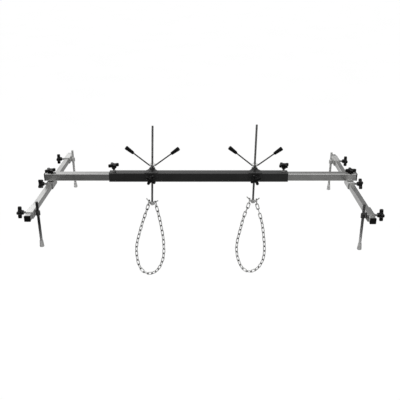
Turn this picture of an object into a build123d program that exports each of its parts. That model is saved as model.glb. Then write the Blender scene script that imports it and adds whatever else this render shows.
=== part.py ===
from build123d import *
import math
import os

# Engine support bar. Millimetres, +Z up, X along the beam, -Y towards the
# front.  The origin is on the plane that the four feet stand on, below the
# middle of the centre tube.

# ---------------------------------------------------------------- dimensions
BEAM_Z = 205.0              # beam axis above the plane of the feet

# beam
TUBE_W, TUBE_T, TUBE_R = 45.0, 3.5, 3.5         # centre tube
TUBE_HALF = 429.0                               # half length of the centre tube
EXT_W, EXT_T, EXT_R = 36.0, 2.5, 3.0            # extension tubes
EXT_Z = -0.7                                    # extension sits low in the centre tube
EXT_LEN = 420.0
EXT_END = {"left": -742.0, "right": 762.0}      # outer faces of the end caps
EXT_CAP_T = 5.0
LOCK_X = {"left": -407.0, "right": 409.0}       # extension lock screws

# side arms and their sleeves
ARM_X = {"left": -713.5, "right": 732.0}        # swivel axis and arm centre line
ARM_Z = -37.0
ARM_W, ARM_T, ARM_R = 25.0, 2.0, 2.6
ARM_Y = {"left": (-413.0, 424.0), "right": (-436.0, 398.0)}   # over the caps
ARM_CAP_W, ARM_CAP_T = 27.4, 4.0
SLV_W, SLV_T, SLV_R, SLV_L = 32.0, 3.0, 3.2, 80.0
CLAMP_Y = {"front_left": -337.0, "front_right": -365.0,
           "rear_left": 370.0, "rear_right": 333.0}

# legs
LEG_OFF = 24.0              # leg axis from the arm centre line, on the inner side
LEG_R, LEG_TOP = 6.0, 9.0
BUSH_R, BUSH_BORE, BUSH_H = 10.0, 6.35, 20.0
FOOT_H, FOOT_DEPTH = 31.0, 19.0

# knob screws
SCREW_R, THREAD_HOLE_R = 4.93, 5.0
KNOB_R, LOBE_W = 26.5, 14.0                    # four-lobed knobs: over the lobes, width of a lobe
KNOB_STEM, KNOB_HEAD, KNOB_DOME = 9.5, 15.0, 1.6
KNOB_CORE = (9.6, 11.2)     # radius of the stem at its foot and under the lobes
SWIVEL_STEM, SWIVEL_CORE = 3.2, (12.8, 13.4)    # the swivel knobs have a shorter, wider stem
SIDE_SCREW_Z = -3.5         # screws in the sides of the sleeves, from the arm's axis
# where a lobe of each knob points: from the front upwards on the sleeves, from
# the right backwards on top of the beam, from the right upwards on the saddles
LOBE_DEG = {"left_tee": 66.0, "right_tee": 35.0, "front_left": 14.0, "front_right": 14.0, "rear_left": 8.0,
            "rear_right": 8.0, "left_lock": 29.0, "right_lock": 31.0, "left_swivel": 35.0, "right_swivel": 2.0,
            "left_saddle": 235.0, "right_saddle": 295.0}
NUT_AF, NUT_H = 17.0, 8.0
TIP_GAP = 0.7               # screw tip to the tube it clamps

# lifting assemblies
LIFT_X = {"left": -226.4, "right": 272.0}
LIFT_Y = 36.5
LEAN = {"left": 2.4, "right": 0.9}             # rods stand loose in their guides
LEAN_Z = 8.0                                    # height of the point they lean about
SADDLE_W, SADDLE_T, SADDLE_GAP = 64.0, 4.0, 0.5
SADDLE_BOT = -17.0
SADDLE_REAR = 17.0          # half width of the rear wall
SADDLE_SCREW_Z = -1.0
GUIDE_R, GUIDE_BORE, GUIDE_BOT = 10.0, 6.5, -16.0
SEAT_R0, SEAT_R1, SEAT_TOP = 15.0, 11.0, 31.0
HUB_BOT, HUB_TOP = 32.0, 51.0
ROD_R = 5.0
ROD_TOP = {"left": 240.0, "right": 245.5}
HOOK_BOT = {"left": -169.0, "right": -158.0}
HOOK_YAW = {"left": 20.0, "right": 14.0}        # hook arms turned about the rod, right arm forwards
HOOK_ROOT_R, HOOK_ARM_R, HOOK_TIP_R = 6.0, 3.45, 3.1
HOOK_TIP = 33.5             # reach of the arms
HOOK_ARM_DEG = 42.0
SPOKE_R, SPOKE_DEG = 3.4, 38.15
SPOKE_REF = (17.0, 44.3)    # a point of the spoke's axis: radius, height
SPOKE_TIP = 127.5           # radius of the end of the grip
GRIP_L, GRIP_R0, GRIP_R1 = 47.0, 7.4, 10.2
WING_DEG = {"left": 4.0, "right": 0.0}          # how far the wing nuts are turned at rest

# chain
WIRE = 4.6
LINK_W = 18.4               # outer width
LINK_IN = 26.65             # inner length
PITCH = 26.25
LINKS = {"left": 36, "right": 35}
SEAT_AT = 17.0              # radius of the chain's seat on a hook arm
LINK_LINE = (0.0, 0.89, -0.45)                  # links of the hanging runs stand 45 degrees either side of this
CHAIN_PATH = {              # across the hook, height: the hanging line of each loop
    "left": [(-25, -183), (-33, -204), (-44, -233), (-61, -278), (-76, -327), (-92, -378),
             (-101, -416), (-104, -451), (-101, -489), (-93, -532), (-76, -561), (-52, -573),
             (-25, -568), (4, -551), (25, -525), (39, -493), (51, -461), (55, -423),
             (56, -383), (53, -332), (46, -289), (39, -244), (31, -210), (24, -180)],
    "right": [(-21, -171), (-25, -188), (-36, -208), (-42, -228), (-48, -254), (-56, -291),
              (-67, -341), (-75, -377), (-78, -409), (-79, -438), (-74, -467), (-65, -502),
              (-57, -519), (-46, -541), (-21, -557), (4, -554), (30, -538), (41, -523),
              (50, -507), (60, -484), (67, -460), (68, -431), (68, -402), (66, -374),
              (61, -340), (56, -295), (51, -268), (45, -243), (35, -211), (28, -190), (21, -171)],
}

os.makedirs("parts", exist_ok=True)
SIDE = {"left": -1.0, "right": 1.0}


# ------------------------------------------------------------------- helpers
def save(name, *solids):
    moved = [Pos(0, 0, BEAM_Z) * s for s in solids]
    if len(moved) == 1:
        export_step(moved[0], f"parts/{name}.step")
    else:
        export_step(Compound(children=moved), f"parts/{name}.step")


def ring_section(w, t, r):
    return RectangleRounded(w, w, r) - RectangleRounded(w - 2 * t, w - 2 * t, max(r - t, 0.8))


def bar_x(w, t, r, x0, x1, y, z):
    return Pos(x0, y, z) * extrude(Plane.YZ * ring_section(w, t, r), x1 - x0)


Y_PLANE = Plane(origin=(0, 0, 0), x_dir=(1, 0, 0), z_dir=(0, 1, 0))


def bar_y(w, t, r, x, y0, y1, z):
    return Pos(x, y0, z) * extrude(Y_PLANE * ring_section(w, t, r), y1 - y0)


def frame_at(origin, z_dir, x_dir):
    return Plane(origin=origin, x_dir=x_dir, z_dir=z_dir).location


def rod_z(r, z0, z1):
    return Pos(0, 0, z0) * Cylinder(r, z1 - z0, align=(Align.CENTER, Align.CENTER, Align.MIN))


def stud_z(r, z0, z1, c0, c1):
    """A round bar along Z with a chamfer at either end."""
    pts = [(0, z0), (r - c0, z0), (r, z0 + c0), (r, z1 - c1), (r - c1, z1), (0, z1)]
    if c0 == 0:
        pts.pop(1)
        pts[1] = (r, z0)
    if c1 == 0:
        pts.pop(-2)
        pts[-2] = (r, z1)
    return revolve(Plane.XZ * make_face(Polyline(*pts, close=True)), Axis.Z)


def hex_nut(h):
    body = extrude(RegularPolygon(NUT_AF / math.sqrt(3.0), 6), h)
    cap = revolve(Plane.XZ * make_face(Polyline(
        (0, 0), (NUT_AF * 0.6, 0), (NUT_AF * 0.6, h - 1.4), (NUT_AF * 0.5 - 0.4, h), (0, h), close=True)), Axis.Z)
    return (body & cap) - rod_z(THREAD_HOLE_R, -1, h + 1)


def knob_body(bore_r, bore_depth, stem=KNOB_STEM, core_r=KNOB_CORE):
    """Four-lobed knob: the stem's foot at z = 0, the lobes around its head."""
    reach = KNOB_R - LOBE_W / 2
    arm = SlotCenterToCenter(2 * reach, LOBE_W)
    outline = arm + Rot(0, 0, 90) * arm
    inner = [v for v in outline.vertices() if math.hypot(v.X, v.Y) < LOBE_W * 0.8]
    outline = fillet(inner, 5.0)
    head = Pos(0, 0, stem) * extrude(outline, KNOB_HEAD)
    head = fillet(head.faces().sort_by(Axis.Z)[-1].outer_wire().edges(), 3.2)
    head = fillet(head.faces().sort_by(Axis.Z)[0].outer_wire().edges(), 3.2)
    top = stem + KNOB_HEAD
    core = revolve(Plane.XZ * make_face(Polyline(
        (0, 0), (core_r[0] - 0.8, 0), (core_r[0], 0.8), (core_r[1], stem + 1.0), (core_r[1], stem + 6.0),
        (9.3, stem + 6.0), (9.3, top + 0.4), (7.6, top + 1.1), (4.0, top + KNOB_DOME), (0, top + KNOB_DOME),
        close=True)), Axis.Z)
    return (head + core) - rod_z(bore_r, -1, bore_depth)


def knob_screw(stud_len):
    """Knob with its moulded-in screw, which reaches stud_len below the hub."""
    return knob_body(SCREW_R, 14.0), stud_z(SCREW_R, -stud_len, 14.0, 1.2, 0)


def put_knob(name, origin, out_dir, lobe_dir, stud_len):
    loc = frame_at(origin, out_dir, lobe_dir)
    save(name, *[loc * s for s in knob_screw(stud_len)])


def sleeve(x, y, s):
    """Square sleeve on an arm, with the screw's nut welded to its outer side."""
    body = bar_y(SLV_W, SLV_T, SLV_R, x, y - SLV_L / 2, y + SLV_L / 2, ARM_Z)
    nut = frame_at((x + s * SLV_W / 2, y, SIDE_Z), (s, 0, 0), (0, 0, 1)) * hex_nut(NUT_H)
    hole = frame_at((x + s * (SLV_W / 2 - SLV_T - 1), y, SIDE_Z), (s, 0, 0), (0, 0, 1)) \
        * rod_z(THREAD_HOLE_R, 0, SLV_T + 3)
    return (body - hole) + nut


ARM_FACE = ARM_W / 2
KNOB_OFF = 36.5             # hub's foot from the arm centre line
SIDE_STUD = KNOB_OFF - ARM_FACE - TIP_GAP
SIDE_Z = ARM_Z + SIDE_SCREW_Z


def lobe(name, front=False):
    a = math.radians(LOBE_DEG[name])
    return (0, -math.cos(a), math.sin(a)) if front else (math.cos(a), math.sin(a), 0)



# ---------------------------------------------------------------------- beam
tube = bar_x(TUBE_W, TUBE_T, TUBE_R, -TUBE_HALF, TUBE_HALF, 0, 0)
for side in SIDE:
    tube -= Pos(LOCK_X[side], 0, 0) * rod_z(THREAD_HOLE_R, 10, 30)
save("centre_tube", tube)

nut_base = TUBE_W / 2
save("lock_nuts", *[Pos(LOCK_X[s], 0, nut_base) * hex_nut(NUT_H) for s in SIDE])

LOCK_FOOT = 38.0
ext_top = EXT_Z + EXT_W / 2
for side, s in SIDE.items():
    end = EXT_END[side] - s * EXT_CAP_T
    x0, x1 = sorted((end, end - s * EXT_LEN))
    ext = bar_x(EXT_W, EXT_T, EXT_R, x0, x1, 0, EXT_Z)
    ext -= Pos(ARM_X[side], 0, 0) * rod_z(THREAD_HOLE_R, -30, 30)
    save(f"{side}_extension_tube", ext)

    plug_w = EXT_W - 2 * EXT_T - 0.4
    flange = extrude(RectangleRounded(EXT_W + 0.8, EXT_W + 0.8, EXT_R + 0.4), EXT_CAP_T)
    flange = fillet(flange.faces().sort_by(Axis.Z)[-1].outer_wire().edges(), 2.0)
    plug = Pos(0, 0, -11) * extrude(RectangleRounded(plug_w, plug_w, 1.0), 11)
    save(f"{side}_extension_cap", frame_at((end, 0, EXT_Z), (s, 0, 0), (0, 0, 1)) * (flange + plug))

    put_knob(f"{side}_lock_knob", (LOCK_X[side], 0, LOCK_FOOT), (0, 0, 1), lobe(f"{side}_lock"),
             LOCK_FOOT - ext_top - TIP_GAP)

# ------------------------------------------------------- swivel joints, arms
slv_top = ARM_Z + SLV_W / 2
BOLT_TOP = 29.0
ext_bot = EXT_Z - EXT_W / 2
for side, s in SIDE.items():
    ax = ARM_X[side]
    save(f"{side}_tee_sleeve", sleeve(ax, 0, s))
    save(f"{side}_swivel_bolt", Pos(ax, 0, 0) * stud_z(SCREW_R, slv_top, BOLT_TOP, 0, 1.2))
    washer = rod_z(14.0, slv_top, ext_bot - 0.4) - rod_z(SCREW_R + 0.25, slv_top - 1, ext_bot)
    save(f"{side}_swivel_washer", Pos(ax, 0, 0) * washer)
    loc = frame_at((ax, 0, ext_top + 0.4), (0, 0, 1), lobe(f"{side}_swivel"))
    save(f"{side}_swivel_knob", loc * knob_body(THREAD_HOLE_R, BOLT_TOP - ext_top + 1.0 - 0.4, SWIVEL_STEM,
                                                SWIVEL_CORE))
    put_knob(f"{side}_tee_knob", (ax + s * KNOB_OFF, 0, SIDE_Z), (s, 0, 0), lobe(f"{side}_tee", True), SIDE_STUD)

    y0, y1 = ARM_Y[side]
    save(f"{side}_arm_tube", bar_y(ARM_W, ARM_T, ARM_R, ax, y0 + ARM_CAP_T, y1 - ARM_CAP_T, ARM_Z))
    plug_w = ARM_W - 2 * ARM_T - 0.4
    flange = extrude(RectangleRounded(ARM_CAP_W, ARM_CAP_W, ARM_R + 0.8), ARM_CAP_T)
    flange = fillet(flange.faces().sort_by(Axis.Z)[-1].outer_wire().edges(), 1.8)
    cap = flange + Pos(0, 0, -10) * extrude(RectangleRounded(plug_w, plug_w, 1.0), 10)
    save(f"{side}_arm_caps",
         frame_at((ax, y0 + ARM_CAP_T, ARM_Z), (0, -1, 0), (0, 0, 1)) * cap,
         frame_at((ax, y1 - ARM_CAP_T, ARM_Z), (0, 1, 0), (0, 0, 1)) * cap)

# -------------------------------------------------------- leg clamps and legs
for where, cy in CLAMP_Y.items():
    end, side = where.split("_")
    s, ax = SIDE[side], ARM_X[side]
    lx = ax - s * LEG_OFF
    save(f"{where}_clamp_sleeve", sleeve(ax, cy, s))

    bush = rod_z(BUSH_R, ARM_Z - SLV_W / 2, ARM_Z - SLV_W / 2 + BUSH_H)
    bush = chamfer(bush.edges().filter_by(GeomType.CIRCLE), 0.8)
    bush -= rod_z(BUSH_BORE, -100, 100)
    bush = Pos(lx, cy, 0) * bush
    keep = Box(40, 40, 80, align=(Align.MIN, Align.CENTER, Align.CENTER))
    face = ax - s * SLV_W / 2
    keep = Pos(face, cy, ARM_Z) * (keep if s < 0 else Rot(0, 0, 180) * keep)
    save(f"{where}_leg_bush", bush & keep)

    put_knob(f"{where}_clamp_knob", (ax + s * KNOB_OFF, cy, SIDE_Z), (s, 0, 0), lobe(where, True), SIDE_STUD)

    foot_top = -BEAM_Z + FOOT_H
    save(f"{where}_leg_rod", Pos(lx, cy, 0) * stud_z(LEG_R, foot_top - FOOT_DEPTH, LEG_TOP, 0, 1.0))

    b = -BEAM_Z
    foot = revolve(Plane.XZ * make_face(Polyline(
        (6.06, foot_top), (7.2, foot_top), (7.7, foot_top - 2.0), (8.7, b + 15), (10.0, b + 3.2), (9.8, b + 1.6),
        (9.1, b + 0.5), (8.0, b), (0, b), (0, foot_top - FOOT_DEPTH), (6.06, foot_top - FOOT_DEPTH),
        close=True)), Axis.Z)
    save(f"{where}_foot", Pos(lx, cy, 0) * foot)

# -------------------------------------------------------- lifting assemblies
IN = TUBE_W / 2 + SADDLE_GAP
OUT = IN + SADDLE_T


def rounded(points, radius):
    return fillet(make_face(Polyline(*points, close=True)).vertices(), radius)


def link_solid():
    rc = (LINK_W - WIRE) / 2
    half = (LINK_IN + WIRE) / 2 - rc
    wire = Circle(WIRE / 2)
    bend = revolve(Plane.XZ * Pos(rc, 0) * wire, Axis.Z, 180)
    side = Pos(0, -half, 0) * extrude(Y_PLANE * wire, 2 * half)
    return (Pos(0, half, 0) * bend) + (Pos(0, -half, 0) * Rot(0, 0, 180) * bend) \
        + (Pos(rc, 0, 0) * side) + (Pos(-rc, 0, 0) * side)


def smooth(points, n=24):
    """Points of a Catmull-Rom curve through the given ones."""
    p = [tuple(2 * a - b for a, b in zip(points[0], points[1])), *points,
         tuple(2 * a - b for a, b in zip(points[-1], points[-2]))]
    out = []
    for i in range(1, len(p) - 2):
        for j in range(n):
            t = j / n
            out.append(tuple(0.5 * (2 * b + (c - a) * t + (2 * a - 5 * b + 4 * c - d) * t * t
                                    + (3 * b - a - 3 * c + d) * t ** 3)
                             for a, b, c, d in zip(p[i - 1], p[i], p[i + 1], p[i + 2])))
    return out + [points[-1]]


def length(pts):
    return sum(math.dist(a, b) for a, b in zip(pts, pts[1:]))


def at(pts, dist):
    for a, b in zip(pts, pts[1:]):
        d = math.dist(a, b)
        if dist <= d:
            return tuple(u + (v - u) * dist / d for u, v in zip(a, b))
        dist -= d
    return pts[-1]


LINK = link_solid()
ARM_DROP = 0.35             # hook arm below the middle of the end link's bend
FIRST = (LINK_IN + WIRE) / 2 - (LINK_W - WIRE) / 2 + PITCH / 2 - ARM_DROP


def blend(t):
    t = max(0.0, min(1.0, t))
    return t * t * (3 - 2 * t)


def chain_links(side, end0, end1):
    """Links of a loop between its two seats, each as (middle, direction) in the loop's plane."""
    count = LINKS[side]
    goal = 2 * FIRST + (count - 2) * PITCH
    seat_z = (end0[1] + end1[1]) / 2
    lo, hi = 0.8, 1.2
    for _ in range(50):
        k = (lo + hi) / 2
        path = smooth([end0, *[(h, seat_z + (z - seat_z) * k) for h, z in CHAIN_PATH[side]], end1])
        lo, hi = (k, hi) if length(path) < goal else (lo, k)
    print(side, "chain stretch", round(k, 4))
    raw = [end0, *[at(path, FIRST + PITCH * i) for i in range(count - 1)], end1]
    nodes = list(raw)
    for i in range(2, count - 1):               # even out the bends from link to link
        nodes[i] = tuple(0.5 * q + 0.25 * (p + r) for p, q, r in zip(*raw[i - 1:i + 2]))
    out = []
    for i in range(count):
        a, b = nodes[i], nodes[i + 1]
        d = ((b[0] - a[0]) / math.dist(a, b), (b[1] - a[1]) / math.dist(a, b))
        if i == 0:
            m = tuple(p + q * (FIRST - PITCH / 2) for p, q in zip(a, d))
        elif i == count - 1:
            m = tuple(p - q * (FIRST - PITCH / 2) for p, q in zip(b, d))
        else:
            m = tuple((p + q) / 2 for p, q in zip(a, b))
        out.append((m, d))
    return out


for side, s in SIDE.items():
    at_rod = Pos(LIFT_X[side], LIFT_Y, 0)
    base = Pos(LIFT_X[side], 0, 0)
    w = SADDLE_W / 2

    # folded saddle over the tube, its top plate drawn out behind to carry the rod
    top = make_face(Polyline((-w, -OUT), (w, -OUT), (w, 0), (SADDLE_REAR, IN), (10, LIFT_Y + 15), (-10, LIFT_Y + 15),
                             (-SADDLE_REAR, IN), (-w, 0), close=True))
    rear_corners = [v for v in top.vertices() if v.Y > LIFT_Y]
    top = fillet(rear_corners, 7.0)
    plate = Pos(0, 0, IN) * extrude(top, SADDLE_T)
    h = OUT - SADDLE_BOT
    walls = []
    for width in (SADDLE_W, 2 * SADDLE_REAR):
        wall = Pos(0, 0, SADDLE_BOT) * Box(width, SADDLE_T, h, align=(Align.CENTER, Align.MIN, Align.MIN))
        walls.append(fillet([e for e in wall.edges().filter_by(Axis.Y) if e.center().Z < 0], 6.0))
    saddle = plate + Pos(0, -OUT, 0) * walls[0] + Pos(0, IN, 0) * walls[1]
    saddle = fillet([e for e in saddle.edges().filter_by(Axis.X)
                     if abs(e.center().Y + OUT) < 0.01 and abs(e.center().Z - OUT) < 0.01], 3.0)
    saddle -= Pos(0, LIFT_Y, 0) * rod_z(GUIDE_R + 0.05, IN - 0.5, OUT + 1)
    saddle -= frame_at((0, -IN + 2, SADDLE_SCREW_Z), (0, -1, 0), (1, 0, 0)) * rod_z(THREAD_HOLE_R, 0, 10)
    saddle += frame_at((0, -OUT, SADDLE_SCREW_Z), (0, -1, 0), (1, 0, 0)) * hex_nut(NUT_H)
    save(f"{side}_saddle", base * saddle)

    # turned guide with a conical seat for the wing nut
    guide = revolve(Plane.XZ * make_face(Polyline(
        (GUIDE_BORE, GUIDE_BOT), (GUIDE_R, GUIDE_BOT), (GUIDE_R, OUT), (SEAT_R0, OUT), (SEAT_R0, OUT + 1.2),
        (SEAT_R1, SEAT_TOP), (GUIDE_BORE, SEAT_TOP), close=True)), Axis.Z)
    flat = Pos(0, OUT - LIFT_Y, GUIDE_BOT - 1) * Box(60, 30, IN - GUIDE_BOT + 1,
                                                      align=(Align.CENTER, Align.MAX, Align.MIN))
    save(f"{side}_rod_guide", at_rod * (guide - flat))

    lx, lz, _ = lobe(f"{side}_saddle")
    put_knob(f"{side}_saddle_knob", (LIFT_X[side], -OUT - NUT_H - 0.8, SADDLE_SCREW_Z), (0, -1, 0), (lx, 0, lz),
             OUT + NUT_H + 0.8 - TUBE_W / 2 - TIP_GAP)

    # what leans with the rod
    lean = Pos(LIFT_X[side], LIFT_Y, LEAN_Z) * Rot(0, LEAN[side], 0) * Pos(0, 0, -LEAN_Z)
    hub = revolve(Plane.XZ * make_face(Polyline(
        (5.06, HUB_BOT), (8.8, HUB_BOT), (9.6, HUB_BOT + 0.8), (9.6, 37.0), (15.6, 42.0), (15.6, 48.5),
        (13.6, HUB_TOP), (6.0, HUB_TOP), (5.06, HUB_TOP - 1), close=True)), Axis.Z)
    spokes, grips = [], []
    for turn in (0, 180):
        rr, zz = SPOKE_REF
        axis_loc = Rot(0, 0, turn + WING_DEG[side]) * Pos(rr, 0, zz) * Rot(0, 90 - SPOKE_DEG, 0)
        full = (SPOKE_TIP - rr) / math.cos(math.radians(SPOKE_DEG))
        deep = -7.0
        hub -= axis_loc * rod_z(SPOKE_R + 0.05, deep, 30)
        spokes.append(lean * axis_loc * stud_z(SPOKE_R, deep, full - 8, 0, 0.8))
        g0 = full - GRIP_L
        grip = revolve(Plane.XZ * make_face(Polyline(
            (SPOKE_R + 0.05, g0), (GRIP_R0 - 1.0, g0), (GRIP_R0, g0 + 1.2), (GRIP_R1, full - 6), (GRIP_R1, full - 2.6),
            (GRIP_R1 - 2.6, full), (0, full), (0, full - 7.5), (SPOKE_R + 0.05, full - 7.5), close=True)), Axis.Z)
        grips.append(lean * axis_loc * grip)
    save(f"{side}_wing_hub", lean * hub)
    save(f"{side}_wing_spokes", *spokes)
    save(f"{side}_wing_grips", *grips)

    zb = HOOK_BOT[side]
    save(f"{side}_lifting_rod", lean * stud_z(ROD_R, zb + 8.2, ROD_TOP[side], 0, 1.0))

    # double hook: a boss on the rod and two arms rising outwards from thick roots
    hook = revolve(Plane.XZ * make_face(Polyline(
        (0, zb), (5.0, zb), (7.6, zb + 1.6), (8.8, zb + 5.0), (8.8, zb + 15.0), (8.0, zb + 18.6), (6.8, zb + 20.0),
        (5.06, zb + 20.0), (5.06, zb + 8.0), (0, zb + 8.0), close=True)), Axis.Z)
    arm_a = math.radians(HOOK_ARM_DEG)
    root_r, root_z = 8.5, zb + 9.5
    n = (HOOK_TIP - HOOK_TIP_R - root_r) / math.cos(arm_a)
    low = (Align.CENTER, Align.CENTER, Align.MIN)
    arm = Cone(HOOK_ARM_R, HOOK_TIP_R, n, align=low) + Pos(0, 0, n) * Sphere(HOOK_TIP_R) \
        + Pos(0, 0, -4.0) * Cone(HOOK_ROOT_R, HOOK_ARM_R, 9.0, align=low)
    for turn in (0, 180):
        hook += Rot(0, 0, turn) * Pos(root_r, 0, root_z) * Rot(0, 90 - HOOK_ARM_DEG, 0) * arm
    hook -= rod_z(5.06, zb + 8.0, zb + 30.0)
    hook_loc = lean * Rot(0, 0, -HOOK_YAW[side])
    save(f"{side}_hook", hook_loc * hook)

    # chain loop hung on both arms: plumb, from where its seats on the arms end up
    seat_z = root_z + (SEAT_AT - root_r) * math.tan(arm_a)
    p0, p1 = [(hook_loc * Pos(k * SEAT_AT, 0, seat_z)).position for k in (-1, 1)]
    mid = (p0 + p1) * 0.5
    flat_line = Vector(p1.X - p0.X, p1.Y - p0.Y, 0)
    across, up = flat_line.normalized(), Vector(0, 0, 1)
    normal = up.cross(across)
    half = flat_line.length / 2
    line = Vector(*LINK_LINE)
    links = []
    n_links = LINKS[side]
    placed = chain_links(side, (-half, p0.Z), (half, p1.Z))
    face = []
    for _, (dh, dz) in placed:
        side_dir = across * (-dz) + up * dh
        face.append(math.degrees(math.atan2(line.dot(side_dir), line.dot(normal))))
    for i, ((hm, zm), (dh, dz)) in enumerate(placed):
        centre = Vector(mid.X, mid.Y, 0) + across * hm + up * zm
        d = across * dh + up * dz
        side_dir = across * (-dz) + up * dh
        near = [face[max(0, min(n_links - 1, j))] for j in range(i - 4, i + 5)]
        t0, t1 = blend(i / 6.0), blend((n_links - 1 - i) / 6.0)
        extra = (sum(near) / 9 + 45.0) * t0 * t1 + (0.0 if n_links % 2 else 90.0) * (1 - t1)
        r = math.radians(90.0 * i + extra)
        wdir = normal * math.cos(r) + side_dir * math.sin(r)
        links.append(Plane(origin=centre, x_dir=wdir, z_dir=wdir.cross(d)).location * LINK)
    save(f"{side}_chain", *links)
    axis = (p1 - p0).normalized()
    print(side, "chain axis through", tuple(round(v, 3) for v in (mid.X, mid.Y, mid.Z + BEAM_Z)),
          "along", tuple(round(v, 6) for v in (axis.X, axis.Y, axis.Z)))
    la = lean * Pos(0, 0, 1)
    lb = lean * Pos(0, 0, 0)
    print(side, "rod axis through", tuple(round(v, 3) for v in (lb.position.X, lb.position.Y, lb.position.Z + BEAM_Z)),
          "along", tuple(round(p - q, 6) for p, q in zip(la.position, lb.position)))
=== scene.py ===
import math

import bmesh
import bpy
import numpy as np
from mathutils import Matrix, Vector


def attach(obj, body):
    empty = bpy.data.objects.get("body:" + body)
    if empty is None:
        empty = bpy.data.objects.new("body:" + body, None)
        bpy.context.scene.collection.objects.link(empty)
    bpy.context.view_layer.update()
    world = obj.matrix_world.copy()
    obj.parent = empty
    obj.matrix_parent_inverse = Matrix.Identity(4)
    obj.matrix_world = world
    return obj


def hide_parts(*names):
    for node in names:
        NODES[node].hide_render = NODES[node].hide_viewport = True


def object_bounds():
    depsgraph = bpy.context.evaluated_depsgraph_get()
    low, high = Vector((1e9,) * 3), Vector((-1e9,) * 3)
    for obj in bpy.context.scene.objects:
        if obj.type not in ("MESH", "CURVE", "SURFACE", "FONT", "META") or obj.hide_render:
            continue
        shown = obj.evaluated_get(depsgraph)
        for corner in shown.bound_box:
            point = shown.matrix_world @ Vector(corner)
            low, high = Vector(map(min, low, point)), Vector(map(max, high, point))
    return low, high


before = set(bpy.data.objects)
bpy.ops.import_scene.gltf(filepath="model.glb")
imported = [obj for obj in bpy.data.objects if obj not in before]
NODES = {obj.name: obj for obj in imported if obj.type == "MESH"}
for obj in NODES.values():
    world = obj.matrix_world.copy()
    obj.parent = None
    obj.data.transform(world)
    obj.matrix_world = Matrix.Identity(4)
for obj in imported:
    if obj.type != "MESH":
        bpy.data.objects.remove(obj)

CAD_BOX = [list(c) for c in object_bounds()]
SIDES = ("left", "right")
SIGN = {"left": -1.0, "right": 1.0}
CORNERS = ("front_left", "front_right", "rear_left", "rear_right")
MM = 0.001
BEAM_Z = 205.0
SCENE = bpy.context.scene

# ------------------------------------------------------------------ the camera
cam = bpy.data.objects.new("camera", bpy.data.cameras.new("camera"))
cam.data.sensor_width = 36.0
cam.data.lens = 51.75
cam.data.shift_x = -0.01875
cam.data.clip_end = 100.0
cam.location = (0.043, -2.600, 1.187)
cam.rotation_euler = (math.radians(66.92), 0.0, 0.0)
SCENE.collection.objects.link(cam)
SCENE.camera = cam
SCENE.view_settings.view_transform = "Standard"


# ------------------------------------------------------------------- materials
def new_material(name):
    m = bpy.data.materials.new(name)
    m.use_nodes = True
    nt = m.node_tree
    bsdf = nt.nodes["Principled BSDF"]
    return m, nt, bsdf


def coords(nt, scale=(1, 1, 1), rot=(0, 0, 0)):
    tc = nt.nodes.new("ShaderNodeTexCoord")
    mp = nt.nodes.new("ShaderNodeMapping")
    mp.inputs["Scale"].default_value = scale
    mp.inputs["Rotation"].default_value = rot
    nt.links.new(tc.outputs["Object"], mp.inputs["Vector"])
    return mp.outputs["Vector"]


def noise(nt, vec, scale, detail=3.0, rough=0.55, distortion=0.0):
    n = nt.nodes.new("ShaderNodeTexNoise")
    n.inputs["Scale"].default_value = scale
    n.inputs["Detail"].default_value = detail
    n.inputs["Roughness"].default_value = rough
    n.inputs["Distortion"].default_value = distortion
    nt.links.new(vec, n.inputs["Vector"])
    return n.outputs["Fac"]


def ramp(nt, fac, stops):
    r = nt.nodes.new("ShaderNodeValToRGB")
    el = r.color_ramp.elements
    while len(el) < len(stops):
        el.new(0.5)
    for e, (p, c) in zip(el, stops):
        e.position = p
        e.color = (c, c, c, 1.0) if isinstance(c, float) else (*c, 1.0)
    nt.links.new(fac, r.inputs["Fac"])
    return r.outputs["Color"]


def remap(nt, fac, lo, hi, a=0.25, b=0.75):
    r = nt.nodes.new("ShaderNodeMapRange")
    r.inputs["From Min"].default_value = a
    r.inputs["From Max"].default_value = b
    r.inputs["To Min"].default_value = lo
    r.inputs["To Max"].default_value = hi
    nt.links.new(fac, r.inputs["Value"])
    return r.outputs["Result"]


def mix(nt, fac, a, b, blend="MIX"):
    x = nt.nodes.new("ShaderNodeMix")
    x.data_type = "RGBA"
    x.blend_type = blend
    for sock, value in ((x.inputs[0], fac), (x.inputs[6], a), (x.inputs[7], b)):
        if isinstance(value, bpy.types.NodeSocket):
            nt.links.new(value, sock)
        elif isinstance(value, (int, float)):
            sock.default_value = value
        else:
            sock.default_value = (*value, 1.0)
    return x.outputs[2]


def bump(nt, bsdf, height, strength, distance, soft=0.0006):
    """Fine relief on normals that are rounded over the sharp edges."""
    b = nt.nodes.new("ShaderNodeBump")
    b.inputs["Strength"].default_value = strength
    b.inputs["Distance"].default_value = distance
    nt.links.new(height, b.inputs["Height"])
    if soft:
        bev = nt.nodes.new("ShaderNodeBevel")
        bev.samples = 4
        bev.inputs["Radius"].default_value = soft
        nt.links.new(bev.outputs["Normal"], b.inputs["Normal"])
    nt.links.new(b.outputs["Normal"], bsdf.inputs["Normal"])


def edge_mask(nt, radius, lo=0.02, hi=0.35):
    """1 along sharp edges, 0 on the flats."""
    bev = nt.nodes.new("ShaderNodeBevel")
    bev.samples = 4
    bev.inputs["Radius"].default_value = radius
    geo = nt.nodes.new("ShaderNodeNewGeometry")
    dot = nt.nodes.new("ShaderNodeVectorMath")
    dot.operation = "DOT_PRODUCT"
    nt.links.new(bev.outputs["Normal"], dot.inputs[0])
    nt.links.new(geo.outputs["Normal"], dot.inputs[1])
    r = nt.nodes.new("ShaderNodeMapRange")
    r.inputs["From Min"].default_value = 1.0 - lo
    r.inputs["From Max"].default_value = 1.0 - hi
    nt.links.new(dot.outputs["Value"], r.inputs["Value"])
    return r.outputs["Result"]


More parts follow.
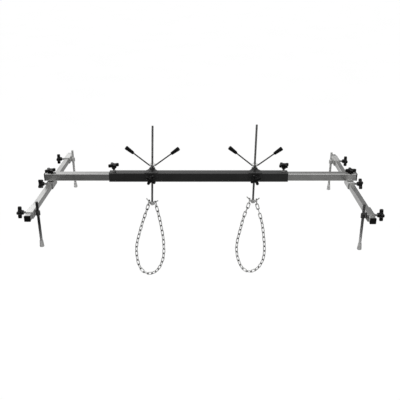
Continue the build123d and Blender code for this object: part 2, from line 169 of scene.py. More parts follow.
def zinc(name, along, lo, hi, rough, metal=1.0):
    """Plated drawn steel: fine lines along the bar, cloudy plating, a few rubbed spots and scratches."""
    m, nt, bsdf = new_material(name)
    stretch = {"x": (3, 140, 140), "y": (140, 3, 140), "z": (140, 140, 3), "": (60, 60, 60)}[along]
    lines = noise(nt, coords(nt, stretch), 4.0, 4.0, 0.6)
    cloud = noise(nt, coords(nt), 14.0, 4.0, 0.6, 0.4)
    spots = noise(nt, coords(nt), 420.0, 2.0, 0.5)
    marks = noise(nt, coords(nt, (30, 260, 90), (0.3, 0.2, 0.7)), 1.0, 2.0, 0.5, 0.6)
    base = ramp(nt, cloud, [(0.3, lo), (0.72, hi)])
    base = mix(nt, remap(nt, lines, 0.0, 0.26, 0.35, 0.75), base, tuple(0.6 * c for c in lo))
    base = mix(nt, remap(nt, spots, 0.0, 0.16, 0.62, 0.8), base, (0.22, 0.22, 0.21))
    base = mix(nt, remap(nt, marks, 0.0, 0.35, 0.70, 0.76), base, (0.80, 0.80, 0.78))
    nt.links.new(base, bsdf.inputs["Base Color"])
    bsdf.inputs["Metallic"].default_value = metal
    nt.links.new(remap(nt, lines, rough - 0.06, rough + 0.08), bsdf.inputs["Roughness"])
    bump(nt, bsdf, lines, 0.06, 0.0004)
    return m


def black_coat(name, colour, rough, peel, worn):
    """Black coated steel: orange peel, a little dust, thin at the edges."""
    m, nt, bsdf = new_material(name)
    cloud = noise(nt, coords(nt), 9.0, 5.0, 0.6, 0.3)
    grain = noise(nt, coords(nt), peel, 2.0, 0.5)
    base = ramp(nt, cloud, [(0.3, tuple(0.8 * c for c in colour)), (0.75, tuple(1.35 * c for c in colour))])
    scuff = noise(nt, coords(nt), 160.0, 4.0, 0.65)
    edge = nt.nodes.new("ShaderNodeMath")
    edge.operation = "MULTIPLY"
    nt.links.new(edge_mask(nt, 0.0016), edge.inputs[0])
    nt.links.new(remap(nt, scuff, 0.0, worn, 0.42, 0.7), edge.inputs[1])
    base = mix(nt, edge.outputs[0], base, (0.16, 0.16, 0.155))
    nt.links.new(base, bsdf.inputs["Base Color"])
    nt.links.new(remap(nt, cloud, rough - 0.05, rough + 0.07), bsdf.inputs["Roughness"])
    bump(nt, bsdf, grain, 0.10, 0.00025)
    return m


def plastic(name, colour, rough, grain_scale, depth, spec=0.5):
    m, nt, bsdf = new_material(name)
    bsdf.inputs["Specular IOR Level"].default_value = spec
    grain = noise(nt, coords(nt), grain_scale, 3.0, 0.6)
    cloud = noise(nt, coords(nt), 55.0, 3.0, 0.5)
    base = ramp(nt, cloud, [(0.3, tuple(0.8 * c for c in colour)), (0.7, tuple(1.25 * c for c in colour))])
    nt.links.new(base, bsdf.inputs["Base Color"])
    nt.links.new(remap(nt, cloud, rough - 0.05, rough + 0.06), bsdf.inputs["Roughness"])
    bump(nt, bsdf, grain, 0.18, depth)
    return m


def steel(name, lo, hi, rough, dirt=0.25, metal=1.0, spec=0.5):
    m, nt, bsdf = new_material(name)
    bsdf.inputs["Specular IOR Level"].default_value = spec
    cloud = noise(nt, coords(nt), 45.0, 4.0, 0.6)
    grit = noise(nt, coords(nt), 520.0, 3.0, 0.55)
    base = ramp(nt, cloud, [(0.3, lo), (0.72, hi)])
    base = mix(nt, remap(nt, grit, 0.0, dirt, 0.52, 0.78), base, tuple(0.35 * c for c in lo))
    nt.links.new(base, bsdf.inputs["Base Color"])
    bsdf.inputs["Metallic"].default_value = metal
    nt.links.new(remap(nt, grit, rough - 0.05, rough + 0.10), bsdf.inputs["Roughness"])
    bump(nt, bsdf, grit, 0.08, 0.0002, 0.0004)
    return m


def painted_shade_steel(name, stops, rough, dirt, metal):
    """Steel with painted shade and light, darker upwards and paler towards the foot: stops are (height in metres,
    grey).
    """
    m, nt, bsdf = new_material(name)
    cloud = noise(nt, coords(nt), 45.0, 4.0, 0.6)
    grit = noise(nt, coords(nt), 520.0, 3.0, 0.55)
    split = nt.nodes.new("ShaderNodeSeparateXYZ")
    nt.links.new(coords(nt), split.inputs[0])
    lo, hi = stops[0][0], stops[-1][0]
    # painted shade and light: the grey runs from pale at the foot to dark higher up, by height alone
    up = remap(nt, split.outputs["Z"], 0.0, 1.0, lo, hi)
    base = ramp(nt, up, [((z - lo) / (hi - lo), v) for z, v in stops])
    base = mix(nt, remap(nt, cloud, 0.0, 0.25, 0.3, 0.72), base, (0.02, 0.02, 0.02))
    base = mix(nt, remap(nt, grit, 0.0, dirt, 0.52, 0.78), base, (0.02, 0.02, 0.02))
    nt.links.new(base, bsdf.inputs["Base Color"])
    bsdf.inputs["Metallic"].default_value = metal
    nt.links.new(remap(nt, grit, rough - 0.05, rough + 0.10), bsdf.inputs["Roughness"])
    bump(nt, bsdf, grit, 0.08, 0.0002, 0.0004)
    return m


def grey(v):
    return (v, v, 0.985 * v)


M = {
    "zinc_x": zinc("zinc_x", "x", grey(0.41), grey(0.52), 0.26),
    "zinc_y": zinc("zinc_y", "y", grey(0.44), grey(0.56), 0.26),
    "zinc": zinc("zinc", "", grey(0.50), grey(0.66), 0.32, 0.85),
    # paler zinc as painted light on the sleeves, while the shaded sleeves keep the darker zinc_y
    "sleeve": zinc("lit_sleeve_zinc", "y", grey(0.64), grey(0.78), 0.32, 0.7),
    "forged": zinc("forged_zinc", "", grey(0.50), grey(0.64), 0.38, 0.55),
    "weld": zinc("weld_zinc", "", grey(0.40), grey(0.52), 0.42, 0.8),
    "paint": black_coat("satin_black_paint", (0.011, 0.011, 0.011), 0.30, 1100.0, 0.55),
    "oxide": black_coat("black_steel", (0.018, 0.018, 0.018), 0.40, 1500.0, 0.7),
    "plastic": plastic("black_plastic", (0.004, 0.004, 0.004), 0.20, 1600.0, 0.00012, 0.14),
    "grip": plastic("black_grip", (0.004, 0.004, 0.004), 0.42, 1200.0, 0.0002, 0.10),
    # one rubber for all feet: the front copy is darker as painted shade, the rear copy paler as painted light
    "foot_front": plastic("grey_rubber", (0.53, 0.53, 0.52), 0.58, 1300.0, 0.0003),
    "foot_rear": plastic("rear_foot_rubber_lit", (0.76, 0.76, 0.75), 0.58, 1300.0, 0.0003),
    "thread": steel("thread_steel", grey(0.19), grey(0.25), 0.60, 0.20, 0.0, 0.12),
    # the front legs get painted shade by height, the left and right ones with different greys as lit and shaded copies
    "leg_front_left": painted_shade_steel("leg_front_left_painted_shade", [(0.03, 0.50), (0.08, 0.22), (0.115, 0.045)], 0.28, 0.25, 0.9),
    "leg_front_right": painted_shade_steel("leg_front_right_painted_shade", [(0.03, 0.78), (0.08, 0.38), (0.13, 0.17)], 0.28, 0.25, 0.9),
    "leg_rear": steel("leg_rear_steel", grey(0.58), grey(0.70), 0.34, 0.20, 0.4),
    # painted shade: the front bushes are made near black for the shade where the leg passes the sleeve
    "bush": steel("bush_painted_shade_steel", grey(0.05), grey(0.09), 0.26, 0.40, 1.0),
    "spoke": steel("spoke_steel", grey(0.06), grey(0.09), 0.42, 0.15, 0.15, 0.15),
    # painted light and shade on the chain: pale wires with a painted sheen, and dark bows with painted shade where the
    # links meet
    "chain": steel("chain_steel", grey(0.70), grey(0.82), 0.34, 0.15, 0.25),
    "chain_bow": steel("chain_bow_painted_shade_steel", grey(0.10), grey(0.16), 0.36, 0.30, 0.5),
}


def paint(node, key):
    o = NODES[node]
    o.data.materials.clear()
    o.data.materials.append(M[key])


# ----------------------------------------------------------------- mesh helpers
def add_piece(name, bm, mats, body, nodes=(), sharp=35.0):
    bmesh.ops.recalc_face_normals(bm, faces=bm.faces)
    me = bpy.data.meshes.new(name)
    bm.to_mesh(me)
    bm.free()
    for k in mats:
        me.materials.append(M[k])
    for p in me.polygons:
        p.use_smooth = True
    me.set_sharp_from_angle(angle=math.radians(sharp))
    o = bpy.data.objects.new(name, me)
    SCENE.collection.objects.link(o)
    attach(o, body)
    if nodes:
        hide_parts(*nodes)
    return o


def cad_copy(node):
    """The CAD node's mesh in the row frame, its split seams welded."""
    bm = bmesh.new()
    o = NODES[node]
    bm.from_mesh(o.data)
    bm.transform(o.matrix_world)
    bmesh.ops.remove_doubles(bm, verts=bm.verts, dist=1e-7)
    return bm


def islands(bm):
    left, out = set(bm.verts), []
    while left:
        stack, comp = [left.pop()], []
        while stack:
            v = stack.pop()
            comp.append(v)
            for e in v.link_edges:
                w = e.other_vert(v)
                if w in left:
                    left.remove(w)
                    stack.append(w)
        out.append(comp)
    return out


def lathe(profile, seg=32):
    """Closed solid of revolution about Z: profile is (radius, height) from bottom to top, ending on the axis or not."""
    bm = bmesh.new()
    rings = []
    for r, z in profile:
        if r < 1e-9:
            rings.append([bm.verts.new((0, 0, z))])
        else:
            rings.append([bm.verts.new((r * math.cos(2 * math.pi * k / seg), r * math.sin(2 * math.pi * k / seg), z))
                          for k in range(seg)])
    for a, b in zip(rings, rings[1:]):
        for k in range(seg):
            j = (k + 1) % seg
            if len(a) == 1 and len(b) == 1:
                continue
            if len(a) == 1:
                bm.faces.new((a[0], b[j], b[k]))
            elif len(b) == 1:
                bm.faces.new((a[k], a[j], b[0]))
            else:
                bm.faces.new((a[k], a[j], b[j], b[k]))
    for ring in (rings[0], rings[-1]):
        if len(ring) > 1:
            bm.faces.new(ring)
    return bm


def thread(radius, depth, pitch, z0, z1, seg=16, c0=1.0, c1=1.0):
    """Right-hand screw thread about Z from z0 to z1, its ends chamfered by c0 and c1, all in metres."""
    prof = [(0.0, radius - depth), (0.24, radius - depth), (0.5, radius), (0.74, radius)]
    turns = int(math.ceil((z1 - z0) / pitch)) + 2
    bm = bmesh.new()
    rows = []
    for i in range(turns * seg + 1):
        a = 2 * math.pi * i / seg
        row = []
        for f, r in prof:
            z = z0 - pitch + pitch * (i / seg + f)
            zc = min(max(z, z0), z1)
            r = min(r, radius - max(0.0, c0 - (zc - z0)), radius - max(0.0, c1 - (z1 - zc)))
            row.append(bm.verts.new((r * math.cos(a), r * math.sin(a), zc)))
        rows.append(row)
    flat = 1e-9
    for i in range(turns * seg):
        for j in range(4):
            if j < 3:
                quad = (rows[i][j], rows[i + 1][j], rows[i + 1][j + 1], rows[i][j + 1])
            else:
                if i + 1 + seg > turns * seg:
                    continue
                quad = (rows[i][3], rows[i + 1][3], rows[i + 1 + seg][0], rows[i + seg][0])
            zs = [v.co.z for v in quad]
            if max(zs) - min(zs) < flat and (zs[0] - z0 < flat or z1 - zs[0] < flat):
                continue
            bm.faces.new(quad)
    bmesh.ops.remove_doubles(bm, verts=bm.verts, dist=1e-8)
    bmesh.ops.dissolve_degenerate(bm, dist=1e-8, edges=bm.edges)
    loose = [v for v in bm.verts if not v.link_faces]
    bmesh.ops.delete(bm, geom=loose, context="VERTS")
    bmesh.ops.holes_fill(bm, edges=[e for e in bm.edges if e.is_boundary], sides=0)
    return bm


def merge(target, other, index=0):
    """Adds other's mesh to target, its faces on that material slot, or on their own slots for None."""
    if index is not None:
        for f in other.faces:
            f.material_index = index
    me = bpy.data.meshes.new("tmp")
    other.to_mesh(me)
    other.free()
    target.from_mesh(me)
    bpy.data.meshes.remove(me)
    return target


def to_axis(origin, z_dir):
    z = Vector(z_dir).normalized()
    x = z.orthogonal().normalized()
    y = z.cross(x)
    m = Matrix((x, y, z)).transposed().to_4x4()
    m.translation = Vector(origin)
    return m


LIFT_X = {"left": -226.4, "right": 272.0}
LEAN = {"left": math.radians(2.4), "right": math.radians(0.9)}
ROD_TOP = {"left": 240.0, "right": 245.5}
HOOK_BOT = {"left": -169.0, "right": -158.0}


def lean(side):
    """From a lifting rod's own axes, in millimetres above the beam axis, to the row frame in metres."""
    return (Matrix.Scale(MM, 4) @ Matrix.Translation((LIFT_X[side], 36.5, BEAM_Z + 8.0))
            @ Matrix.Rotation(LEAN[side], 4, "Y") @ Matrix.Translation((0, 0, -8.0)))


def hub_painted_reflection(side):
    """Turned hub with painted reflections: dark round the rod for the dark reflected at its middle, pale where the bars
    go in for the bright surroundings reflected there.
    """
    o = NODES[f"{side}_wing_hub"]
    mid = o.matrix_world.inverted() @ (lean(side) @ Vector((0.0, 0.0, 44.0)))
    m, nt, bsdf = new_material(f"hub_painted_reflection_{side}")
    cloud = noise(nt, coords(nt), 45.0, 4.0, 0.6)
    grit = noise(nt, coords(nt), 520.0, 3.0, 0.55)
    split = nt.nodes.new("ShaderNodeSeparateXYZ")
    nt.links.new(coords(nt), split.inputs[0])
    off = nt.nodes.new("ShaderNodeMath")
    off.operation = "SUBTRACT"
    nt.links.new(split.outputs["X"], off.inputs[0])
    off.inputs[1].default_value = mid.x
    far = nt.nodes.new("ShaderNodeMath")
    far.operation = "ABSOLUTE"
    nt.links.new(off.outputs[0], far.inputs[0])
    # painted reflection: a pale base stands in for the bright surroundings mirrored in the polished hub, and a
    # near-black band across its middle for the dark mirrored there
    bright = ramp(nt, cloud, [(0.3, grey(0.84)), (0.72, grey(0.92))])
    nt.links.new(mix(nt, remap(nt, far.outputs[0], 0.0, 1.0, 0.0030, 0.0050), grey(0.04), bright), bsdf.inputs["Base Color"])
    bsdf.inputs["Metallic"].default_value = 0.30
    nt.links.new(remap(nt, grit, 0.30, 0.42), bsdf.inputs["Roughness"])
    bump(nt, bsdf, grit, 0.08, 0.0002, 0.0004)
    return m


for side in SIDES:
    M[f"hub_{side}"] = hub_painted_reflection(side)

# --------------------------------------------------------- nodes that stay as CAD
paint("centre_tube", "paint")
paint("lock_nuts", "zinc")
for side in SIDES:
    paint(f"{side}_extension_tube", "zinc_x")
    paint(f"{side}_extension_cap", "plastic")
    # painted light and shade: the right tee sleeve gets the paler zinc, the left one the darker zinc
    paint(f"{side}_tee_sleeve", "zinc_y" if side == "left" else "sleeve")
    paint(f"{side}_swivel_bolt", "thread")
    paint(f"{side}_swivel_washer", "oxide")
    paint(f"{side}_arm_tube", "zinc_y")
    paint(f"{side}_arm_caps", "plastic")
    paint(f"{side}_saddle", "paint")
    paint(f"{side}_rod_guide", "oxide")
    paint(f"{side}_wing_hub", f"hub_{side}")
    paint(f"{side}_wing_spokes", "spoke")
    paint(f"{side}_swivel_knob", "plastic")
for c in CORNERS:
    # painted light and shade: the front right clamp sleeve gets the darker zinc, the others the paler one
    paint(f"{c}_clamp_sleeve", "zinc_y" if c == "front_right" else "sleeve")
    # the front bushes carry the near-black painted shade, the rear ones are plain zinc
    paint(f"{c}_leg_bush", "bush" if c.startswith("front") else "zinc")


# ------------------------------------------------------------- knobs with screws
def screw_knob(node, body, origin, out_dir, stud):
    """The knob's own shape, with a real thread on its screw."""
    bm = cad_copy(node)
    o, d = Vector(origin) * MM, Vector(out_dir)
    core = [v for v in bm.verts if ((v.co - o) - d * (v.co - o).dot(d)).length < 4.96 * MM]
    bmesh.ops.delete(bm, geom=core, context="VERTS")
    bmesh.ops.holes_fill(bm, edges=[e for e in bm.edges if e.is_boundary], sides=0)
    t = thread(4.93 * MM, 0.8 * MM, 1.5 * MM, -stud * MM, 13.9 * MM, 20, 1.2 * MM, 0.0)
    t.transform(to_axis(Vector(origin) * MM, out_dir))
    merge(bm, t, 1)
    return add_piece(f"{node}_v", bm, ("plastic", "thread"), body, (node,), 50.0)


ARM_X = {"left": -713.5, "right": 732.0}
LOCK_X = {"left": -407.0, "right": 409.0}
CLAMP_Y = {"front_left": -337.0, "front_right": -365.0, "rear_left": 370.0, "rear_right": 333.0}
ARM_Z = BEAM_Z - 37.0
SIDE_Z = ARM_Z - 3.5
SADDLE_Z = BEAM_Z - 1.0
for side in SIDES:
    s, ax = SIGN[side], ARM_X[side]
    screw_knob(f"{side}_lock_knob", f"{side}_lock_knob", (LOCK_X[side], 0, BEAM_Z + 38), (0, 0, 1), 20.0)
    screw_knob(f"{side}_tee_knob", f"{side}_tee_knob", (ax + s * 36.5, 0, SIDE_Z), (s, 0, 0), 23.3)
    screw_knob(f"{side}_saddle_knob", f"{side}_saddle_knob", (LIFT_X[side], -35.8, SADDLE_Z), (0, -1, 0), 12.6)
for c in CORNERS:
    side = c.split("_")[1]
    s, ax = SIGN[side], ARM_X[side]
    screw_knob(f"{c}_clamp_knob", f"{c}_clamp_knob", (ax + s * 36.5, CLAMP_Y[c], SIDE_Z), (s, 0, 0), 23.3)

# ------------------------------------------------------------------ threaded rods
for c in CORNERS:
    side = c.split("_")[1]
    bm = thread(6.0 * MM, 0.95 * MM, 1.75 * MM, 12.0 * MM, (BEAM_Z + 9.0) * MM, 18, 0.0, 1.0 * MM)
    bm.transform(Matrix.Translation(((ARM_X[side] - SIGN[side] * 24.0) * MM, CLAMP_Y[c] * MM, 0)))
    add_piece(f"{c}_leg_thread", bm, (f"leg_{c}" if c.startswith("front") else "leg_rear",), f"{c}_leg", (f"{c}_leg_rod",), 30.0)

for side in SIDES:
    zb = HOOK_BOT[side]
    bm = thread(5.0, 0.85, 1.5, zb + 8.2, ROD_TOP[side], 16, 0.0, 1.0)
    bm.transform(lean(side))
    add_piece(f"{side}_rod_thread", bm, ("thread",), f"{side}_lift", (f"{side}_lifting_rod",), 30.0)

# -------------------------------------------------------------------- chain links


def link_mesh(seg=14, sec=12):
    """One welded link in its own axes, millimetres: width along X, length along Y, a weld half way up one side.
    The bows, where the links meet and shade each other, are on slot 1, painted dark as that shade."""
    rc, half, wire = 6.9, 8.725, 2.3
    path = []
    for k in range(seg + 1):
        a = math.pi * k / seg
        path.append((rc * math.cos(a), half + rc * math.sin(a), (math.cos(a), math.sin(a)), 1.0))
    for y in np.linspace(half, -half, 9)[1:-1]:
        path.append((-rc, y, (-1.0, 0.0), 1.0))
    for k in range(seg + 1):
        a = math.pi + math.pi * k / seg
        path.append((rc * math.cos(a), -half + rc * math.sin(a), (math.cos(a), math.sin(a)), 1.0))
    for y in np.concatenate([np.linspace(-half, -3.0, 4)[1:], np.linspace(-2.2, 2.2, 9), np.linspace(3.0, half, 4)[:-1]]):
        bulge = 1.0 + 0.09 * math.exp(-(y / 1.5) ** 2) + (0.03 if abs(abs(y) - 1.65) < 0.3 else 0.0)
        path.append((rc, y, (1.0, 0.0), bulge))
    bm = bmesh.new()
    rings = []
    for x, y, n, g in path:
        ring = []
        for k in range(sec):
            a = 2 * math.pi * k / sec
            r = wire * g
            ring.append(bm.verts.new((x + n[0] * r * math.cos(a), y + n[1] * r * math.cos(a), r * math.sin(a))))
        rings.append(ring)
    ends = [abs(y) for _, y, _, _ in path]
    for a, b, ya, yb in zip(rings, rings[1:] + rings[:1], ends, ends[1:] + ends[:1]):
        for k in range(sec):
            j = (k + 1) % sec
            f = bm.faces.new((a[k], a[j], b[j], b[k]))
            # faces round the bows take the painted shade slot
            f.material_index = int(0.5 * (ya + yb) > half + 2.5)
    return bm


for side in SIDES:
    src = cad_copy(f"{side}_chain")
    out = bmesh.new()
    for vs in islands(src):
        pts = np.array([tuple(v.co) for v in vs])
        lo, hi = pts.min(0), pts.max(0)
        mid = pts.mean(0)
        _, vec = np.linalg.eigh(np.cov((pts - mid).T))
        y, x = Vector(vec[:, 2]), Vector(vec[:, 1])
        z = x.cross(y)
        m = Matrix((x, y, z)).transposed().to_4x4()
        m.translation = Vector(mid)
        one = link_mesh()
        one.transform(m @ Matrix.Scale(MM, 4))
        merge(out, one, None)
    src.free()
    add_piece(f"{side}_chain_links", out, ("chain", "chain_bow"), f"{side}_chain", (f"{side}_chain",), 60.0)

# ------------------------------------------------------------------ feet and grips
for c in CORNERS:
    side = c.split("_")[1]
    bm = lathe([(0, 0), (8.0, 0), (9.2, 0.5), (9.8, 1.5), (10.0, 3.2), (9.7, 6.0), (9.2, 10.0), (8.65, 15.0),
                (8.2, 21.0), (7.8, 26.5), (7.65, 28.6), (7.4, 29.8), (6.95, 30.75), (6.5, 31.0), (6.08, 30.8),
                (6.08, 22.0)], 40)
    bm.transform(Matrix.Translation(((ARM_X[side] - SIGN[side] * 24.0) * MM, CLAMP_Y[c] * MM, 0)) @ Matrix.Scale(MM, 4))
    add_piece(f"{c}_foot_v", bm, (f"foot_{c.split('_')[0]}",), f"{c}_leg", (f"{c}_foot",), 60.0)

SPOKE_DEG = 38.15
WING = {"left": math.radians(4.0), "right": 0.0}
for side in SIDES:
    out = bmesh.new()
    full = (127.5 - 17.0) / math.cos(math.radians(SPOKE_DEG))
    for turn in (0.0, math.pi):
        g = full - 47.0
        bm = lathe([(3.46, g + 9.0), (3.46, g), (6.2, g + 0.05), (7.0, g + 0.5), (7.4, g + 1.5), (7.75, g + 6.0),
                    (8.4, g + 16.0), (9.15, g + 27.0), (9.85, g + 37.0), (10.15, g + 41.0), (10.1, g + 43.2),
                    (9.5, g + 45.2), (8.3, g + 46.4), (6.3, g + 46.9), (0, full)], 40)
        bm.transform(lean(side) @ Matrix.Rotation(turn + WING[side], 4, "Z") @ Matrix.Translation((17.0, 0, 44.3))
                     @ Matrix.Rotation(math.radians(90.0 - SPOKE_DEG), 4, "Y"))
        merge(out, bm, 0)
    add_piece(f"{side}_grips_v", out, ("grip",), f"{side}_wing_nut", (f"{side}_wing_grips",), 60.0)


# -------------------------------------------------------------------- forged hooks
def softened(bm, voxel, rounds):
    """The same solid with its joins run together, as a forging has them."""
    me = bpy.data.meshes.new("soft")
    bm.to_mesh(me)
    bm.free()
    o = bpy.data.objects.new("soft", me)
    SCENE.collection.objects.link(o)
    r = o.modifiers.new("remesh", "REMESH")
    r.mode = "VOXEL"
    r.voxel_size = voxel
    r.use_smooth_shade = True
    k = o.modifiers.new("smooth", "SMOOTH")
    k.factor = 0.5
    k.iterations = rounds
    got = bpy.data.meshes.new_from_object(o.evaluated_get(bpy.context.evaluated_depsgraph_get()))
    bpy.data.objects.remove(o)
    bpy.data.meshes.remove(me)
    out = bmesh.new()
    out.from_mesh(got)
    bpy.data.meshes.remove(got)
    return out


for side in SIDES:
    bm = softened(cad_copy(f"{side}_hook"), 0.0006, 8)
    add_piece(f"{side}_hook_v", bm, ("forged",), f"{side}_lift", (f"{side}_hook",), 80.0)


# ---------------------------------------------------------------------- weld beads
def bead(points, radius, closed, ripples, seed):
    """A weld run along the points, its back rippled crosswise."""
    n = len(points)
    pts = [Vector(q) for q in points]
    bm = bmesh.new()
    rings = []
    for i, q in enumerate(pts):
        a = pts[(i - 1) % n] if closed or i > 0 else q
        b = pts[(i + 1) % n] if closed or i < n - 1 else q
        t = (b - a).normalized()
        u = t.cross(Vector((0.31, 0.55, 0.78))).normalized()
        w = t.cross(u)
        f = 1.0 + 0.10 * math.sin(2 * math.pi * ripples * i / n) + 0.05 * math.sin(seed + 5.1 * i / n * 2 * math.pi)
        if not closed:
            f *= min(1.0, 0.35 + 3.5 * min(i, n - 1 - i) / n)
        rings.append([bm.verts.new(q + (u * math.cos(k * math.pi / 4) + w * math.sin(k * math.pi / 4)) * radius * f)
                      for k in range(8)])
    for a, b in zip(rings, rings[1:] + (rings[:1] if closed else [])):
        for k in range(8):
            j = (k + 1) % 8
            bm.faces.new((a[k], a[j], b[j], b[k]))
    if not closed:
        bm.faces.new(rings[0])
        bm.faces.new(rings[-1])
    return bm


def nut_bead(centre, z_dir, x_dir, seed):
    """The weld round the foot of a hex nut, 17 mm across its flats."""
    z, x = Vector(z_dir), Vector(x_dir)
    y = z.cross(x)
    pts = []
    for i in range(120):
        a = 2 * math.pi * i / 120
        off = (a + math.pi / 6) % (math.pi / 3) - math.pi / 6
        r = min(8.5 / math.cos(off), 9.45) + 0.25
        pts.append((Vector(centre) + x * (r * math.cos(a + math.pi / 6)) + y * (r * math.sin(a + math.pi / 6)) + z * 0.15) * MM)
    return bead(pts, 1.15 * MM, True, 34, seed)


bm = bmesh.new()
for k, side in enumerate(SIDES):
    merge(bm, nut_bead((LOCK_X[side], 0, BEAM_Z + 22.5), (0, 0, 1), (1, 0, 0), 1.3 * k), 0)
add_piece("lock_nut_welds", bm, ("paint",), "beam", (), 60.0)
for k, side in enumerate(SIDES):
    s, ax = SIGN[side], ARM_X[side]
    bm = nut_bead((ax + s * 16.0, 0, SIDE_Z), (s, 0, 0), (0, 0, 1), 2.0 + k)
    add_piece(f"{side}_tee_weld", bm, ("weld",), f"{side}_tee", (), 60.0)
    bm = nut_bead((LIFT_X[side], -27.0, SADDLE_Z), (0, -1, 0), (1, 0, 0), 3.0 + k)
    add_piece(f"{side}_saddle_weld", bm, ("oxide",), f"{side}_saddle", (), 60.0)
for k, c in enumerate(CORNERS):
    side = c.split("_")[1]
    s, ax, cy = SIGN[side], ARM_X[side], CLAMP_Y[c]
    bm = nut_bead((ax + s * 16.0, cy, SIDE_Z), (s, 0, 0), (0, 0, 1), 5.0 + k)
    face = ax - s * 16.2
    for e in (-1.0, 1.0):
        run = [Vector((face, cy + e * 6.6, ARM_Z - 15.0 + 18.0 * i / 40)) * MM for i in range(41)]
        merge(bm, bead(run, 1.3 * MM, False, 11, k + e), 0)
    add_piece(f"{c}_clamp_weld", bm, ("weld",), f"{c}_clamp", (), 60.0)

# ---------------------------------------------------------------- floor and light
def stage_mesh(name, bm, mat):
    me = bpy.data.meshes.new(name)
    bm.to_mesh(me)
    bm.free()
    me.materials.append(mat)
    o = bpy.data.objects.new(name, me)
    SCENE.collection.objects.link(o)
    return o


floor_z = CAD_BOX[0][2] - 0.18      # low enough for the chains with the rods let down
bm = bmesh.new()
bmesh.ops.create_circle(bm, cap_ends=True, radius=30.0, segments=96)
bm.transform(Matrix.Translation((0, 1.0, floor_z)))
fm, nt, bsdf = new_material("pale_floor")
tint = ramp(nt, noise(nt, coords(nt), 1.5, 2.0), [(0.3, (0.985, 0.985, 0.985)), (0.7, (1.0, 1.0, 1.0))])
nt.links.new(mix(nt, 0.96, tint, (0.0, 0.0, 0.0)), bsdf.inputs["Base Color"])
nt.links.new(tint, bsdf.inputs["Emission Color"])
bsdf.inputs["Roughness"].default_value = 1.0
bsdf.inputs["Specular IOR Level"].default_value = 0.0
bsdf.inputs["Emission Strength"].default_value = 0.985
floor = stage_mesh("floor", bm, fm)
floor.visible_glossy = False
floor.visible_diffuse = False

# black panels off to both sides, which only show as the dark edges of round bright steel
pm, nt, bsdf = new_material("panel")
felt = ramp(nt, noise(nt, coords(nt), 40.0, 2.0), [(0.3, (0.004, 0.004, 0.004)), (0.7, (0.006, 0.006, 0.006))])
nt.links.new(felt, bsdf.inputs["Base Color"])
bsdf.inputs["Roughness"].default_value = 1.0
for x in (-1.30, 1.30):
    bm = bmesh.new()
    bmesh.ops.create_grid(bm, x_segments=1, y_segments=1, size=0.5)
    bm.transform(Matrix.Translation((x, 0.0, -0.08)) @ Matrix.Rotation(math.pi / 2, 4, "Y")
                 @ Matrix.Diagonal((0.75, 2.6, 1.0, 1.0)))
    panel = stage_mesh("panel_left" if x < 0 else "panel_right", bm, pm)
    panel.visible_camera = False
    panel.visible_diffuse = False
    panel.visible_shadow = False

world = bpy.data.worlds.new("studio")
SCENE.world = world
world.use_nodes = True
wt = world.node_tree
wt.nodes.clear()
w_out = wt.nodes.new("ShaderNodeOutputWorld")
w_mix = wt.nodes.new("ShaderNodeMixShader")
w_path = wt.nodes.new("ShaderNodeLightPath")
w_white = wt.nodes.new("ShaderNodeBackground")
w_white.inputs["Color"].default_value = (1, 1, 1, 1)
w_white.inputs["Strength"].default_value = 1.0
w_room = wt.nodes.new("ShaderNodeBackground")
w_tc = wt.nodes.new("ShaderNodeTexCoord")
w_sep = wt.nodes.new("ShaderNodeSeparateXYZ")
wt.links.new(w_tc.outputs["Generated"], w_sep.inputs[0])


def w_ramp(axis, stops):
    """Grey over one component of the direction, from stops of (component, brightness)."""
    r = wt.nodes.new("ShaderNodeMapRange")
    r.inputs["From Min"].default_value = -1.0
    r.inputs["From Max"].default_value = 1.0
    wt.links.new(w_sep.outputs[axis], r.inputs["Value"])
    c = wt.nodes.new("ShaderNodeValToRGB")
    el = c.color_ramp.elements
    while len(el) < len(stops):
        el.new(0.5)
    for e, (q, v) in zip(el, stops):
        e.position = (q + 1.0) / 2.0
        e.color = (v, v, v, 1.0)
    wt.links.new(r.outputs["Result"], c.inputs["Fac"])
    return c.outputs["Color"]


def w_level(v):
    c = wt.nodes.new("ShaderNodeRGB")
    c.outputs[0].default_value = (v, v, v, 1.0)
    return c.outputs[0]


def w_blend(fac, a, b):
    x = wt.nodes.new("ShaderNodeMix")
    x.data_type = "RGBA"
    wt.links.new(fac, x.inputs[0])
    wt.links.new(a, x.inputs[6])
    wt.links.new(b, x.inputs[7])
    return x.outputs[2]


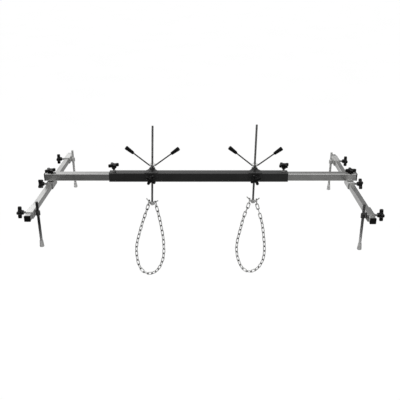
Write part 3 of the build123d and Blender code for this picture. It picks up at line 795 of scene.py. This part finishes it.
# a bright ceiling and floor, and walls that are brightest behind on the left and dim in front
to_back = w_ramp("Y", [(-0.25, 0.0), (0.35, 1.0)])
wall_high = w_blend(to_back, w_level(0.25),
                    w_ramp("X", [(-0.34, 1.0), (-0.26, 0.80), (-0.19, 0.46), (0.0, 0.37), (0.20, 0.22), (0.32, 0.17)]))
wall_low = w_blend(to_back,
                   w_ramp("X", [(-0.9, 0.45), (-0.5, 0.22), (-0.3, 0.09), (-0.15, 0.10), (0.05, 0.12), (0.13, 0.165),
                                (0.20, 0.31), (0.5, 0.35), (0.9, 0.45)]),
                   w_ramp("X", [(-0.45, 0.46), (-0.20, 0.43), (-0.05, 0.35), (0.10, 0.30), (0.30, 0.25)]))
wall = w_blend(w_ramp("Z", [(-0.12, 0.0), (0.12, 1.0)]), wall_low, wall_high)
ceiling = w_ramp("Y", [(-0.60, 1.5), (-0.25, 1.4), (0.0, 0.72), (0.12, 0.54), (0.90, 0.56)])
room = w_blend(w_ramp("Z", [(0.45, 0.0), (0.68, 1.0)]), wall, ceiling)
room = w_blend(w_ramp("Z", [(-0.75, 1.0), (-0.50, 0.0)]), room, w_level(0.60))
wt.links.new(room, w_room.inputs["Color"])
w_level_in = wt.nodes.new("ShaderNodeMapRange")
w_level_in.inputs["To Min"].default_value = 1.5
w_level_in.inputs["To Max"].default_value = 0.70
wt.links.new(w_path.outputs["Is Diffuse Ray"], w_level_in.inputs["Value"])
wt.links.new(w_level_in.outputs["Result"], w_room.inputs["Strength"])
wt.links.new(w_path.outputs["Is Camera Ray"], w_mix.inputs[0])
wt.links.new(w_room.outputs[0], w_mix.inputs[1])
wt.links.new(w_white.outputs[0], w_mix.inputs[2])
wt.links.new(w_mix.outputs[0], w_out.inputs["Surface"])


def area(name, loc, target, size, power):
    l = bpy.data.lights.new(name, "AREA")
    l.shape = "RECTANGLE"
    l.size, l.size_y = size
    l.energy = power
    o = bpy.data.objects.new(name, l)
    o.location = loc
    o.rotation_euler = (Vector(target) - Vector(loc)).to_track_quat("-Z", "Y").to_euler()
    SCENE.collection.objects.link(o)
    return o


area("overhead", (-0.3, 0.6, 3.4), (0, 0, 0), (4.0, 3.0), 60).visible_glossy = False
area("front_fill", (0.5, -4.0, 2.8), (0, 0, 0), (3.0, 1.5), 20)
